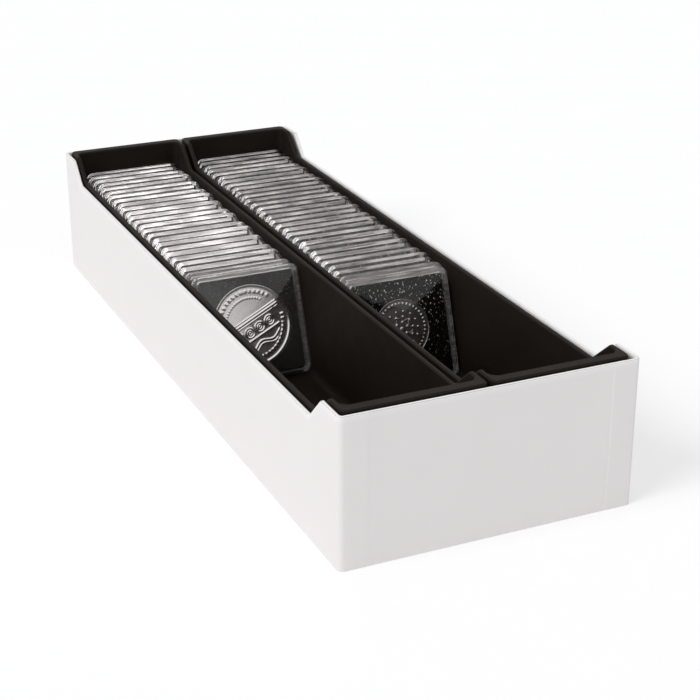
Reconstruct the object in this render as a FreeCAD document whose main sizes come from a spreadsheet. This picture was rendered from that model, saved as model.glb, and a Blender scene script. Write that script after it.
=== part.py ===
"""Coin storage box: a paper-covered board box, two black trays and two rows of square coin capsules.

Millimetres. The origin is the centre of the box's underside. +X runs to the right along the near end,
+Y along the box to its far end, +Z up.
"""
import FreeCAD
import Part
import math
import os
import Sketcher
from FreeCAD import Placement, Rotation, Vector

doc = FreeCAD.newDocument("CoinStorageBox")

# Driving dimensions
SIZES = {
    # outer box
    "box_length": 354.5,
    "box_height": 63.0,
    "side_height": 52.5,
    "post_length": 16.0,
    "slope_length": 10.8,
    "box_corner_radius": 2.5,
    "board_thickness": 1.3,
    "paper_thickness": 0.2,
    "paper_turn_in": 15.0,
    # room around the trays
    "left_gap": 0.75,
    "centre_gap": 1.6,
    "right_gap": 1.65,
    "end_gap": 0.75,
    # trays
    "tray_proud": 0.8,
    "tray_wall": 2.2,
    "tray_floor": 2.2,
    "tray_draft": 1.0,
    "tray_crest_shift": 1.4,
    "flange_width": 3.0,
    "flange_thickness": 1.8,
    "flange_depth": 7.0,
    "flange_wall": 1.4,
    "tray_corner_radius": 2.8,
    "tray_cove_radius": 3.6,
    "crest_radius": 2.0,
    "saddle_radius": 4.0,
    "rim_bevel": 0.6,
    # capsules
    "capsule_side": 50.0,
    "capsule_thickness": 6.25,
    "capsule_corner": 3.5,
    "capsule_bevel": 0.4,
    "window_thickness": 1.1,
    "capsule_rim": 2.5,
    "cavity_corner": 1.0,
    "tongue_width": 0.9,
    "tongue_height": 0.8,
    "tongue_clearance": 0.06,
    "insert_clearance": 0.1,
    "coin_clearance": 0.1,
    "coin_thickness": 2.4,
    "large_coin": 37.0,
    "small_coin": 27.4,
    # rows
    "side_room": 1.5,
    "row_gap": 0.31,
    "row_jog": 0.9,
    "left_lean": 20.0,
    "right_lean": 18.6,
    "rear_lean": 11.0,
    "left_offset": 0.8,
    "right_offset": -0.9,
}

# Capsules in each row, and how many at the front are built one by one
ROW_COUNT = {"left": 25, "right": 30}
SINGLE_COUNT = 2

sheet = doc.addObject("Spreadsheet::Sheet", "Sizes")
for row, (name, value) in enumerate(SIZES.items(), start=1):
    sheet.set("A%d" % row, name)
    sheet.set("B%d" % row, str(value))
    sheet.setAlias("B%d" % row, name)
doc.recompute()

# Sizes that follow from the driving ones, as expressions
BOARD_AND_PAPER = "(Sizes.board_thickness + 2 * Sizes.paper_thickness)"
TRAY_HEIGHT = "(Sizes.box_height - Sizes.board_thickness + Sizes.tray_proud)"
TRAY_DEPTH = "(%s - Sizes.tray_floor)" % TRAY_HEIGHT
TRAY_SIDE = "(Sizes.side_height - Sizes.board_thickness + Sizes.tray_proud)"
DRAFT_GROWTH = "(%s * tan(Sizes.tray_draft * 1 deg))" % TRAY_DEPTH
TRAY_MOUTH = "(Sizes.capsule_side + 2 * Sizes.side_room + 2 * %s)" % DRAFT_GROWTH
TRAY_WIDTH = "(%s + 2 * Sizes.tray_wall)" % TRAY_MOUTH
TRAY_LENGTH = "(Sizes.box_length - 2 * %s - 2 * Sizes.end_gap)" % BOARD_AND_PAPER
TRAY_BODY_LENGTH = "(%s - 2 * Sizes.flange_width)" % TRAY_LENGTH
TRAY_MOUTH_LENGTH = "(%s - 2 * Sizes.tray_wall)" % TRAY_BODY_LENGTH
GAPS = "(Sizes.left_gap + Sizes.centre_gap + Sizes.right_gap)"
BOX_WIDTH = "(2 * %s + %s + 2 * %s)" % (TRAY_WIDTH, GAPS, BOARD_AND_PAPER)
CREST_SPAN = "(Sizes.box_length - 2 * Sizes.post_length)"
FOOT_SPAN = "(%s - 2 * Sizes.slope_length)" % CREST_SPAN
HALF_THICKNESS = "(Sizes.capsule_thickness / 2)"
CAVITY = "(Sizes.capsule_side - 2 * Sizes.capsule_rim)"
INSERT_DEPTH = "(Sizes.capsule_thickness - 2 * Sizes.window_thickness - 2 * Sizes.insert_clearance)"

X_AXIS = Vector(1, 0, 0)
Y_AXIS = Vector(0, 1, 0)
Z_AXIS = Vector(0, 0, 1)


def number(expression):
    """The value of an expression on the sheet."""
    return float(sheet.evalExpression(expression))


def size(name):
    return number("Sizes.%s" % name)


# Bodies, sketches and features
def new_body(label):
    body = doc.addObject("PartDesign::Body", label)
    body.Label = label
    return body


def new_sketch(body, name, role, offset=None, shift=None):
    """A sketch on the body's own plane, lifted off it by offset and moved along its own y by shift."""
    plane = [item for item in body.Origin.OriginFeatures if item.Role == role][0]
    sketch = body.newObject("Sketcher::SketchObject", name)
    sketch.AttachmentSupport = [(plane, "")]
    sketch.MapMode = "FlatFace"
    if offset:
        sketch.setExpression(".AttachmentOffset.Base.z", offset)
    if shift:
        sketch.setExpression(".AttachmentOffset.Base.y", shift)
    return sketch


def outline(sketch, points):
    """A closed outline of straight sides through the points, joined end to end."""
    count = len(points)
    sides = []
    for k in range(count):
        start = Vector(*points[k], 0)
        end = Vector(*points[(k + 1) % count], 0)
        sides.append(sketch.addGeometry(Part.LineSegment(start, end), False))
    for k in range(count):
        sketch.addConstraint(Sketcher.Constraint("Coincident", sides[k], 2, sides[(k + 1) % count], 1))
    return sides


def dimension(sketch, constraint, expression):
    index = sketch.addConstraint(constraint)
    sketch.setExpression("Constraints[%d]" % index, expression)


def rectangle(sketch, width, length):
    """A rectangle centred on the sketch's origin."""
    half_width = number(width) / 2
    half_length = number(length) / 2
    corners = [(-half_width, -half_length), (half_width, -half_length)]
    corners += [(half_width, half_length), (-half_width, half_length)]
    sides = outline(sketch, corners)
    for k in (0, 2):
        sketch.addConstraint(Sketcher.Constraint("Horizontal", sides[k]))
        sketch.addConstraint(Sketcher.Constraint("Vertical", sides[k + 1]))
    sketch.addConstraint(Sketcher.Constraint("Symmetric", sides[0], 1, sides[1], 2, -1, 1))
    dimension(sketch, Sketcher.Constraint("DistanceX", sides[0], 1, sides[0], 2, 2 * half_width), width)
    dimension(sketch, Sketcher.Constraint("DistanceY", sides[1], 1, sides[1], 2, 2 * half_length), length)


def circle(sketch, diameter):
    radius = number(diameter) / 2
    ring = sketch.addGeometry(Part.Circle(Vector(0, 0, 0), Vector(0, 0, 1), radius), False)
    sketch.addConstraint(Sketcher.Constraint("Coincident", ring, 3, -1, 1))
    dimension(sketch, Sketcher.Constraint("Diameter", ring, 2 * radius), diameter)


def saddle(sketch, crest_span, foot_span, crest, foot):
    """What is taken off the long sides: level at the foot, sloping up to the crest and on past it."""
    top = "(%s + Sizes.tray_wall)" % crest
    c, f = number(crest_span) / 2, number(foot_span) / 2
    high, low, over = number(crest), number(foot), number(top)
    sides = outline(sketch, [(-c, over), (-c, high), (-f, low), (f, low), (c, high), (c, over)])
    sketch.addConstraint(Sketcher.Constraint("Horizontal", sides[5]))
    for k in (0, 4):
        sketch.addConstraint(Sketcher.Constraint("Vertical", sides[k]))
    sketch.addConstraint(Sketcher.Constraint("Symmetric", sides[1], 1, sides[3], 2, -2))
    sketch.addConstraint(Sketcher.Constraint("Symmetric", sides[2], 1, sides[2], 2, -2))
    dimension(sketch, Sketcher.Constraint("DistanceX", sides[1], 1, sides[3], 2, 2 * c), crest_span)
    dimension(sketch, Sketcher.Constraint("DistanceX", sides[2], 1, sides[2], 2, 2 * f), foot_span)
    dimension(sketch, Sketcher.Constraint("DistanceY", -1, 1, sides[1], 1, high), crest)
    dimension(sketch, Sketcher.Constraint("DistanceY", -1, 1, sides[2], 1, low), foot)
    dimension(sketch, Sketcher.Constraint("DistanceY", -1, 1, sides[0], 1, over), top)


def pad(body, sketch, length, reverse=False):
    feature = body.newObject("PartDesign::Pad", sketch.Name + "_pad")
    feature.Profile = sketch
    feature.Reversed = reverse
    feature.setExpression("Length", length)
    doc.recompute()
    return feature


def pocket(body, sketch, length=None, reverse=False):
    """Cuts the sketch out, through the whole body both ways where no length is given."""
    before = body.Shape.Volume
    feature = body.newObject("PartDesign::Pocket", sketch.Name + "_pocket")
    feature.Profile = sketch
    feature.Reversed = reverse
    if length:
        feature.setExpression("Length", length)
    else:
        feature.Type = "ThroughAll"
        feature.SideType = "Symmetric"
    doc.recompute()
    if body.Shape.Volume > before - 1e-6:
        raise RuntimeError("%s cuts nothing" % feature.Name)
    return feature


def edge_names(shape, wanted):
    return ["Edge%d" % (k + 1) for k, edge in enumerate(shape.Edges) if wanted(edge)]


def dress(body, kind, name, amount, wanted):
    """Rounds (Fillet) or bevels (Chamfer) the edges of the body that wanted picks."""
    base = body.Tip
    names = edge_names(base.Shape, wanted)
    if not names:
        raise RuntimeError("%s finds no edge" % name)
    feature = body.newObject("PartDesign::" + kind, name)
    feature.Base = (base, names)
    feature.setExpression("Radius" if kind == "Fillet" else "Size", amount)
    doc.recompute()
    return feature


def draft(body, name, top, angle, wanted, inward):
    """Leans the faces that wanted picks, about the body's flat top."""
    base = body.Tip
    leaning = []
    level = []
    for k, face in enumerate(base.Shape.Faces):
        if near(face.BoundBox.ZMin, top, 0.1):
            level.append("Face%d" % (k + 1))
        elif wanted(face):
            leaning.append("Face%d" % (k + 1))
    feature = body.newObject("PartDesign::Draft", name)
    feature.Base = (base, leaning)
    feature.NeutralPlane = (base, level[:1])
    feature.Reversed = inward
    feature.setExpression("Angle", angle)
    doc.recompute()
    return feature


def near(value, target, slack=0.3):
    return abs(value - target) < slack


def middle(edge):
    return (edge.Vertexes[0].Point + edge.Vertexes[-1].Point) * 0.5


def along(edge, axis):
    """True for a straight edge that runs along the axis, give or take a draft angle."""
    run = edge.Vertexes[-1].Point - edge.Vertexes[0].Point
    straight = run.Length > 1e-6 and near(edge.Length, run.Length, 1e-6)
    return straight and abs(run.normalize().dot(axis)) > math.cos(math.radians(10))


def upright(face):
    return abs(face.normalAt(0, 0).z) < 0.5


# Outer box
def build_board():
    """The scored and folded board: a floor and four walls, lower along most of each long side."""
    body = new_body("box_board")
    width = "(%s - 2 * Sizes.paper_thickness)" % BOX_WIDTH
    length = "(Sizes.box_length - 2 * Sizes.paper_thickness)"
    blank = new_sketch(body, "board_outline", "XY_Plane")
    rectangle(blank, width, length)
    pad(body, blank, "Sizes.box_height - Sizes.paper_thickness")
    dress(body, "Fillet", "board_corners", "Sizes.box_corner_radius - Sizes.paper_thickness",
          lambda edge: along(edge, Z_AXIS))
    hollow = new_sketch(body, "board_hollow", "XY_Plane", "Sizes.box_height - Sizes.paper_thickness")
    rectangle(hollow, "%s - 2 * Sizes.board_thickness" % width, "%s - 2 * Sizes.board_thickness" % length)
    pocket(body, hollow, "Sizes.box_height - Sizes.paper_thickness - Sizes.board_thickness")
    side = new_sketch(body, "board_side", "YZ_Plane")
    saddle(side, CREST_SPAN, FOOT_SPAN, "(Sizes.box_height - Sizes.paper_thickness)",
           "(Sizes.side_height - Sizes.paper_thickness)")
    pocket(body, side)
    return body


def build_wrap(board):
    """The white paper glued over the board's outside and rims, and turned in behind them."""
    form = new_body("wrap_form")
    sheet_outline = new_sketch(form, "wrap_outline", "XY_Plane")
    rectangle(sheet_outline, BOX_WIDTH, "Sizes.box_length")
    pad(form, sheet_outline, "Sizes.box_height")
    dress(form, "Fillet", "wrap_corners", "Sizes.box_corner_radius", lambda edge: along(edge, Z_AXIS))
    side = new_sketch(form, "wrap_side", "YZ_Plane")
    saddle(side, CREST_SPAN, FOOT_SPAN, "Sizes.box_height", "Sizes.side_height")
    pocket(form, side)
    inside = new_sketch(form, "wrap_inside", "XY_Plane", "Sizes.box_height")
    rectangle(inside, "%s - 2 * %s" % (BOX_WIDTH, BOARD_AND_PAPER),
              "Sizes.box_length - 2 * %s" % BOARD_AND_PAPER)
    pocket(form, inside, "Sizes.box_height")
    bare = new_sketch(form, "wrap_bare", "XY_Plane")
    board_and_skin = "(Sizes.board_thickness + Sizes.paper_thickness)"
    rectangle(bare, "%s - 2 * %s" % (BOX_WIDTH, board_and_skin),
              "Sizes.box_length - 2 * %s" % board_and_skin)
    pocket(form, bare, "Sizes.side_height - Sizes.paper_turn_in", reverse=True)
    wrap = doc.addObject("Part::Cut", "paper_wrap")
    wrap.Label = "paper_wrap"
    wrap.Base = form
    wrap.Tool = board
    doc.recompute()
    return wrap


# Trays
def build_tray(label, centre_x):
    """A drafted black tray: coved inside, with a lipped flange at each end and lowered long sides."""
    body = new_body(label)
    high, low, floor = number(TRAY_HEIGHT), number(TRAY_SIDE), size("tray_floor")
    shell = new_sketch(body, label + "_shell", "XY_Plane", TRAY_HEIGHT)
    rectangle(shell, TRAY_WIDTH, TRAY_BODY_LENGTH)
    pad(body, shell, TRAY_HEIGHT, reverse=True)
    flange = new_sketch(body, label + "_flange", "XY_Plane", TRAY_HEIGHT)
    rectangle(flange, TRAY_WIDTH, TRAY_LENGTH)
    pad(body, flange, "Sizes.flange_depth", reverse=True)
    draft(body, label + "_outer_draft", high, "Sizes.tray_draft", upright, inward=True)
    dress(body, "Fillet", label + "_corners", "Sizes.tray_corner_radius", lambda edge: along(edge, Z_AXIS))
    channel = "(Sizes.flange_width - Sizes.flange_wall)"
    for end, sign in (("near", "-"), ("far", "")):
        shift = "%s((%s + %s) / 2)" % (sign, TRAY_BODY_LENGTH, channel)
        under = new_sketch(body, "%s_%s_channel" % (label, end), "XY_Plane",
                           "%s - Sizes.flange_depth" % TRAY_HEIGHT, shift)
        rectangle(under, "%s - 2 * Sizes.tray_corner_radius" % TRAY_WIDTH, channel)
        pocket(body, under, "Sizes.flange_depth - Sizes.flange_thickness", reverse=True)
    hollow = new_sketch(body, label + "_hollow", "XY_Plane", TRAY_HEIGHT)
    rectangle(hollow, TRAY_MOUTH, TRAY_MOUTH_LENGTH)
    pocket(body, hollow, TRAY_DEPTH)
    mouth_x, mouth_y = number(TRAY_MOUTH) / 2, number(TRAY_MOUTH_LENGTH) / 2

    def inside(item):
        box = item.BoundBox
        return max(-box.XMin, box.XMax) < mouth_x + 0.1 and max(-box.YMin, box.YMax) < mouth_y + 0.1

    draft(body, label + "_inner_draft", high, "Sizes.tray_draft",
          lambda face: upright(face) and inside(face), inward=False)
    dress(body, "Fillet", label + "_inner_corners", "Sizes.tray_cove_radius",
          lambda edge: along(edge, Z_AXIS) and inside(edge))
    dress(body, "Fillet", label + "_cove", "Sizes.tray_cove_radius",
          lambda edge: near(edge.BoundBox.ZMin, floor) and near(edge.BoundBox.ZMax, floor))
    side = new_sketch(body, label + "_side", "YZ_Plane")
    crest_span = "(%s + 2 * Sizes.tray_crest_shift)" % CREST_SPAN
    saddle(side, crest_span, FOOT_SPAN, TRAY_HEIGHT, TRAY_SIDE)
    pocket(body, side)
    crest, foot = number(crest_span) / 2, number(FOOT_SPAN) / 2

    def folds(y, z):
        return lambda edge: along(edge, X_AXIS) and near(abs(middle(edge).y), y) and near(middle(edge).z, z)

    dress(body, "Fillet", label + "_crests", "Sizes.crest_radius", folds(crest, high))
    dress(body, "Fillet", label + "_saddles", "Sizes.saddle_radius", folds(foot, low))

    def on_rim(edge):
        for vertex in edge.Vertexes:
            rise = min(1.0, max(0.0, (abs(vertex.Y) - foot) / (crest - foot)))
            if not near(vertex.Z, low + (high - low) * rise, 0.1):
                return False
        return not (along(edge, X_AXIS) and near(edge.Length, size("tray_wall")))

    dress(body, "Chamfer", label + "_rim", "Sizes.rim_bevel", on_rim)
    body.Placement = Placement(Vector(centre_x, 0, size("board_thickness")), Rotation())
    return body


# Capsules, in their own frame: the origin is the middle of the lower rear edge, y runs to the rear
def build_half(label, front, detailed):
    """One clear half of a capsule: a window with a rim, open towards the seam."""
    body = new_body(label)
    middle_height = "Sizes.capsule_side / 2"
    blank = new_sketch(body, label + "_outline", "XZ_Plane", HALF_THICKNESS if front else None, middle_height)
    rectangle(blank, "Sizes.capsule_side", "Sizes.capsule_side")
    pad(body, blank, HALF_THICKNESS)
    dress(body, "Fillet" if detailed else "Chamfer", label + "_corners",
          "Sizes.capsule_corner" if detailed else "Sizes.capsule_corner * (1 - tan(22.5 deg) / 2)",
          lambda edge: along(edge, Y_AXIS))
    outer_face = -size("capsule_thickness") if front else 0.0
    if detailed:
        dress(body, "Chamfer", label + "_bevel", "Sizes.capsule_bevel",
              lambda edge: near(edge.BoundBox.YMin, outer_face, 0.01) and near(edge.BoundBox.YMax, outer_face, 0.01))
    cavity = new_sketch(body, label + "_cavity", "XZ_Plane", HALF_THICKNESS, middle_height)
    rectangle(cavity, CAVITY, CAVITY)
    pocket(body, cavity, "%s - Sizes.window_thickness" % HALF_THICKNESS, reverse=front)
    if not detailed:
        return body
    inner = number(CAVITY) / 2
    dress(body, "Fillet", label + "_cavity_corners", "Sizes.cavity_corner",
          lambda edge: along(edge, Y_AXIS) and near(abs(middle(edge).x), inner))
    joint = new_sketch(body, label + "_joint", "XZ_Plane", HALF_THICKNESS, middle_height)
    if front:
        room = "(Sizes.tongue_width + Sizes.tongue_clearance)"
        rectangle(joint, "%s + 2 * %s" % (CAVITY, room), "%s + 2 * %s" % (CAVITY, room))
        pocket(body, joint, "Sizes.tongue_height + Sizes.tongue_clearance", reverse=True)
    else:
        tongue = "%s + 2 * Sizes.tongue_width" % CAVITY
        rectangle(joint, tongue, tongue)
        rectangle(joint, CAVITY, CAVITY)
        pad(body, joint, "Sizes.tongue_height")
    return body


def build_insert(label, coin, detailed):
    """The black foam square that fills the capsule, with a round hole for the coin where it has one."""
    body = new_body(label)
    square = new_sketch(body, label + "_outline", "XZ_Plane",
                        "Sizes.window_thickness + Sizes.insert_clearance", "Sizes.capsule_side / 2")
    side = "(%s - 2 * Sizes.insert_clearance)" % CAVITY
    rectangle(square, side, side)
    if coin:
        circle(square, "(%s + 2 * Sizes.coin_clearance)" % coin)
    pad(body, square, INSERT_DEPTH)
    if detailed:
        dress(body, "Fillet", label + "_corners", "Sizes.cavity_corner",
              lambda edge: along(edge, Y_AXIS) and near(abs(middle(edge).x), number(side) / 2))
    return body


def build_coin(label, coin):
    body = new_body(label)
    rear_face = "(%s - Sizes.coin_thickness / 2)" % HALF_THICKNESS
    face = new_sketch(body, label + "_face", "XZ_Plane", rear_face, "Sizes.capsule_side / 2")
    circle(face, coin)
    pad(body, face, "Sizes.coin_thickness")
    return body


# Rows
def lean_of(index, count, front_lean):
    """Lean in degrees: the single capsules stand parallel, and the rest straighten towards the rear."""
    steps = max(0, index - SINGLE_COUNT + 1)
    return front_lean + (size("rear_lean") - front_lean) * steps / (count - SINGLE_COUNT)


def row_places(side, centre_x):
    """Where each capsule of a row stands, front first: the last leans on the end wall, each on the next."""
    count = ROW_COUNT[side]
    height, thickness, gap = size("capsule_side"), size("capsule_thickness"), size("row_gap")
    floor = size("board_thickness") + size("tray_floor")
    leans = [math.radians(lean_of(k, count, size(side + "_lean"))) for k in range(count)]
    lift = height * math.cos(leans[-1])
    above_floor = lift * math.tan(math.radians(size("tray_draft")))
    floor_end = number(TRAY_MOUTH_LENGTH) / 2 - number(DRAFT_GROWTH)
    foot = floor_end + above_floor - gap - height * math.sin(leans[-1])
    feet = [foot]
    for k in range(count - 2, -1, -1):
        lean, behind = leans[k], leans[k + 1]
        front_y = foot - thickness * math.cos(behind)
        front_rise = thickness * math.sin(behind)
        reach = math.sin(behind) * (height * math.cos(lean) - front_rise)
        foot = front_y - height * math.sin(lean) + (reach - gap) / math.cos(behind)
        feet.insert(0, foot)
    places = []
    for k in range(count):
        turn = (k * 0.618034) % 1.0
        across = size("row_jog") * (2 * turn - 1) if k else size(side + "_offset")
        base = Vector(centre_x + across, feet[k], floor)
        places.append(Placement(base, Rotation(X_AXIS, -math.degrees(leans[k]))))
    return places


def group(label, master, places):
    """One node of many like solids: copies of the master's shape, each in its place."""
    copies = []
    for place in places:
        copy = master.Shape.copy()
        copy.Placement = place.multiply(copy.Placement)
        copies.append(copy)
    feature = doc.addObject("Part::Feature", label)
    feature.Label = label
    feature.Shape = Part.makeCompound(copies)
    return feature


board = build_board()
sub_parts = [board, build_wrap(board)]

tray_width = number(TRAY_WIDTH)
left_wall = -number(BOX_WIDTH) / 2 + number(BOARD_AND_PAPER)
tray_centres = {"left": left_wall + size("left_gap") + tray_width / 2}
tray_centres["right"] = tray_centres["left"] + tray_width + size("centre_gap")
coins = {"left": "Sizes.large_coin", "right": "Sizes.small_coin"}

plain_front = build_half("plain_front_half", front=True, detailed=False)
plain_rear = build_half("plain_rear_half", front=False, detailed=False)
plain_insert = build_insert("plain_insert", None, detailed=False)

for side in ("left", "right"):
    sub_parts.append(build_tray(side + "_tray", tray_centres[side]))
    places = row_places(side, tray_centres[side])
    for k in range(SINGLE_COUNT):
        stem = "%s_capsule_%d" % (side, k + 1)
        pieces = [
            build_half(stem + "_front_half", front=True, detailed=k == 0),
            build_half(stem + "_rear_half", front=False, detailed=k == 0),
            build_insert(stem + "_insert", coins[side], detailed=k == 0),
            build_coin(stem + "_coin", coins[side]),
        ]
        for piece in pieces:
            piece.Placement = places[k]
        sub_parts += pieces
    rest = places[SINGLE_COUNT:]
    sub_parts.append(group(side + "_row_front_halves", plain_front, rest))
    sub_parts.append(group(side + "_row_rear_halves", plain_rear, rest))
    sub_parts.append(group(side + "_row_inserts", plain_insert, rest))

# Everything is checked before anything is written
doc.recompute()
for item in doc.Objects:
    if "Invalid" in item.State or "Error" in item.State:
        raise RuntimeError("%s failed: %s" % (item.Name, item.State))
for part in sub_parts:
    if part.Shape.isNull() or not part.Shape.isValid():
        raise RuntimeError("%s has no sound shape" % part.Label)

os.makedirs("parts", exist_ok=True)
for part in sub_parts:
    part.Shape.exportStep("parts/%s.step" % part.Label)
print("%d nodes written" % len(sub_parts))
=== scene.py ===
"""Coin storage box seen from above its near left corner, on a white ground.

The frame from the CAD part is kept. The box's board is shown as it is. The paper wrap, the trays, the clear
capsules, the foam inserts and the coins are built again here with softer edges and finer detail, each on its
own CAD body. Lengths are in millimetres until a mesh is made.
"""
import math

import bmesh
import bpy
import numpy as np
from mathutils import Matrix, Vector


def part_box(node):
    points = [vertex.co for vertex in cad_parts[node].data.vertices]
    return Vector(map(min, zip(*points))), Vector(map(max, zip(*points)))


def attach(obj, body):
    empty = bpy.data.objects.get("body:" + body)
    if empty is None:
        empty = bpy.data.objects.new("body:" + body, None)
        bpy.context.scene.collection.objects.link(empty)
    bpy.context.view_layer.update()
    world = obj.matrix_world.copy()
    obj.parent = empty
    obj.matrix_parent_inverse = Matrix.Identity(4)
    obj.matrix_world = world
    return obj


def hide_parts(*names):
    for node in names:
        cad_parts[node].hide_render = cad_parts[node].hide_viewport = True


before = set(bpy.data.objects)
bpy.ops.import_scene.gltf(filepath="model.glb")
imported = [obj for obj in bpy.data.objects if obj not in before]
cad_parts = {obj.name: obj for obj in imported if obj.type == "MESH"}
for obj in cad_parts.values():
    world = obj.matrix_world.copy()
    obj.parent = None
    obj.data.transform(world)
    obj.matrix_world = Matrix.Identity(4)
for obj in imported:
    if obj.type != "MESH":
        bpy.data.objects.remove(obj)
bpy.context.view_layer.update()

MM = 0.001

wrap_low, wrap_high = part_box("paper_wrap")
HALF_BOX = (wrap_high - wrap_low) / 2 / MM

# Sizes shared with the part, in millimetres
WALL = 1.7
PAPER = 0.2
LOWERED_HEIGHT = 52.5
SLOPE_FOOT = 150.45
SLOPE_LENGTH = 10.8
BOX_CORNER = 2.5
TURN_IN_EDGE = 37.5
CAPSULE = 50.0
CAPSULE_THICKNESS = 6.25
CAPSULE_CORNER = 3.5
CAVITY = 45.0
CAVITY_CORNER = 1.0
WINDOW = 1.1
TONGUE_WIDTH = 0.9
TONGUE_HEIGHT = 0.8
TONGUE_ROOM = 0.06
INSERT_GAP = 0.1
COIN_GAP = 0.1
COIN_THICKNESS = 2.4
COIN_RADIUS = {"left": 18.5, "right": 13.7}
ROW_GAP = 0.31

# Paper's rim: its round, and how many such rounds down it is painted whiter as a highlight. The mesh
# below it has levels up the face, the last of them RIM_BAND below the rim.
RIM_ROUND = 0.8
RIM_STEPS = 5
RIM_HIGHLIGHT_ROUNDS = 1.6
RIM_BAND = 3.0
FACE_LEVELS = (0.0, 8.0, 20.0, 34.0, 46.0)

# Paper's overlap on both ends of the box: its reach from the corners, how far it stands out, its edge's width
FLAP_WIDTH = 12.0
FLAP_STEP = 0.09
FLAP_SLOPE = 0.06

# Where the paper's mesh has sections: first and last place and their number on a side, and places on an end
SIDE_STATIONS = (-140.0, 140.0, 15)
END_STATIONS = (-30.0, -10.0, 10.0, 30.0)
BOX_CORNER_STEPS = 8

# Slope between lowered side and post, in shares of its length: how far its ends are soft, and its sections
SLOPE_SOFT = 0.09
SLOPE_STATIONS = (-0.09, -0.04, 0.0, 0.04, 0.09, 0.5, 0.91, 0.96, 1.0, 1.04, 1.09)

# Trays: angles in degrees
TRAY_EDGE_ROUND = 0.35
TRAY_EDGE_STEPS = 3
TRAY_EDGE_ANGLE = 28.0
TRAY_SHARP_ANGLE = 50.0
TRAY_FLAT_ANGLE = 0.5
TRAY_SHADING_WEIGHT = 80

# Capsules and inserts
CAPSULE_EDGE_ROUND = 0.45
CAPSULE_EDGE_STEPS = 4
CORNER_STEPS = 7
SEAM_GAP = 0.03
SEAM_BEVEL = 0.12
LEAST_LAND = 0.3
# Width and corner radius of the painted highlight lines on a loose capsule's seam
HIGHLIGHT_LINE_WIDTH = 0.95
HIGHLIGHT_LINE_CORNER = 1.3
INSERT_ROUND = 0.25
INSERT_CORNER_STEPS = 5
INSERT_SIDE_STEPS = 18
OPENING_CAPSULE = "right_capsule_1"

# Share of each strip in a row that is left clear as a painted shadow line. It is drawn from a range,
# and falls to FAR_SHADOW of that towards the row's far end.
SHADOW_SHARE = {"left": (0.05, 0.24), "right": (0.12, 0.36)}
SHADOW_SEED = 7
FAR_SHADOW = 0.35

# Material numbers on a capsule half: clear plastic, frosted seam, and the seam's painted light, painted shade
# and painted glint
CLEAR, FROSTED, PAINT_LIT, PAINT_SHADE, PAINT_GLINT = range(5)

# Looks of a ring of faces round a capsule half, as its corners and its sides, which paint light, shade and
# glints on the seam. Both start at the top right, as seen from the front, and go round by way of the top
# left.
RING_LOOKS = {
    "clear": ([CLEAR] * 4, [CLEAR] * 4),
    # Rows: the frosted seam all round, with a painted glint at the top left corner
    "row": ([CLEAR, PAINT_GLINT, CLEAR, CLEAR], [FROSTED] * 4),
    # Painted light on the top and all corners but the lower left, painted shade on the other sides and that
    # corner
    "painted_lit_top": ([PAINT_LIT, PAINT_LIT, PAINT_SHADE, PAINT_LIT], [PAINT_LIT, PAINT_SHADE, PAINT_SHADE, PAINT_SHADE]),
    # Painted highlight line: bright on the top and the top left corner, painted shade on the right side
    "painted_highlight_line": ([PAINT_LIT, PAINT_GLINT, CLEAR, PAINT_LIT], [FROSTED, CLEAR, CLEAR, PAINT_SHADE]),
}

# Coins: how a face is divided, how high its relief stands, and the width of the relief's slopes
COIN_SPOKES = 240
COIN_RINGS = 72
COIN_CHAMFER = 0.15
COIN_SHARP_ANGLE = 80.0
RELIEF_HEIGHT = 0.22
REED_DEPTH = 0.1
EDGE_RAISED = 0.6
LINE_SLOPE = 0.22
DISC_SLOPE = 0.25
RIM_SLOPE = 0.2

# Left coin. Its marks are placed along and above its level line. A row of dashes has its inset from the
# coin's edge, its width, the angles where it starts and ends, the angle from dash to dash, the share of that
# angle which is raised, and its height.
LEFT_TURN = 24.0
LEFT_RIM = 0.95
LEFT_FIELD_INSET = 1.2
LEFT_DASHES = (
    (3.2, 1.5, 28, 150, 8.0, 0.55, 0.55),
    (6.2, 0.9, 38, 142, 6.0, 0.5, 0.4),
    (3.2, 1.7, 205, 352, 7.4, 0.5, 1.0),
)
SHORE_REACH = 16.0
SHORE_LEVELS_WIDTHS = ((3.6, 0.35), (2.4, 0.9), (1.2, 0.3))
RIPPLE_LEVEL = -2.6
RIPPLE_CENTRES = (-8.2, -2.7, 2.8, 8.3)
RIPPLE_RADII_WIDTHS_HEIGHTS = ((2.2, 0.5, 1.0), (1.1, 0.35, 0.8))
RIPPLE_DOT = 0.35
BANK_LEVEL, BANK_WIDTH, BANK_REACH = -6.1, 0.8, 12.0
WAVE_LEVEL, WAVE_HEIGHT, WAVE_TURNS = -9.4, 1.0, 0.55
WAVE_DROPS_WIDTHS_REACHES = ((0.0, 0.55, 10.5), (1.5, 0.3, 8.0))
MATT_ABOVE = 3.9

# Right coin. Its dashes go as on the left coin. A ring of dots has its own radius, its count of dots and the
# dots' radius.
RIGHT_TURN = -12.0
RIGHT_RIM = 0.6
RIGHT_RIM_HEIGHT = 0.45
RIGHT_DASHES = (2.2, 1.0, 0, 360, 9.0, 0.42, 1.0)
DOT_RINGS = ((3.0, 6, 0.62), (5.6, 10, 0.5), (8.0, 14, 0.42))
PETALS = 6
PETAL_RADIUS, PETAL_SWING, PETAL_HEIGHT = 4.2, 1.1, 0.7
PETAL_HALF_WIDTH, PETAL_SLOPE = 0.14, 0.2
CENTRE_DOT = 0.9

# Colours, from darker to lighter where there are two
PAPER_TONES = ((0.892, 0.862, 0.866), (0.912, 0.884, 0.888))
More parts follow.
